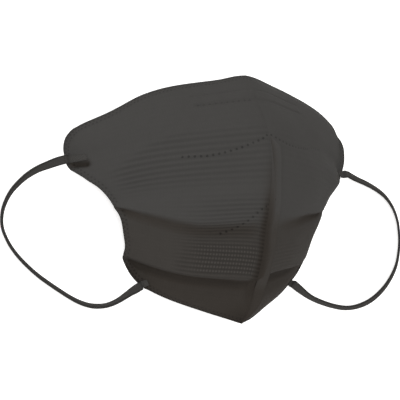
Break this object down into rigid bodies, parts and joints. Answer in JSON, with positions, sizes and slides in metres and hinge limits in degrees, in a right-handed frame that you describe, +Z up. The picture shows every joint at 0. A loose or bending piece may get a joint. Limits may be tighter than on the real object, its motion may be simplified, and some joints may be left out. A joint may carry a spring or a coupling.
{
  "type": "earloop face mask",
  "caption": "Soft three-dimensional face mask of pressed non-woven fabric, with a welded centre seam, cross folds and elastic ear loops, lying open side down.",
  "frame": {"origin": "on the table, under the middle of the mask without its loops", "axes": "+Z up, away from the face; +Y to the nose edge; +X across the face"},
  "size_m": [0.2811, 0.1403, 0.0601],
  "materials": {
    "mask_fabric": "matte charcoal non-woven",
    "welded_seam": "fused non-woven edge, slightly shiny",
    "elastic": "flat knitted elastic, matte"
  },
  "bodies": {
    "root": {"mask_body": "mask_fabric", "centre_seam": "welded_seam", "ear_loop_tab_upper_left": "elastic", "ear_loop_tab_lower_left": "elastic", "ear_loop_tab_upper_right": "elastic", "ear_loop_tab_lower_right": "elastic", "ear_loop_left": "elastic", "ear_loop_right": "elastic"}
  },
  "joints": []
}
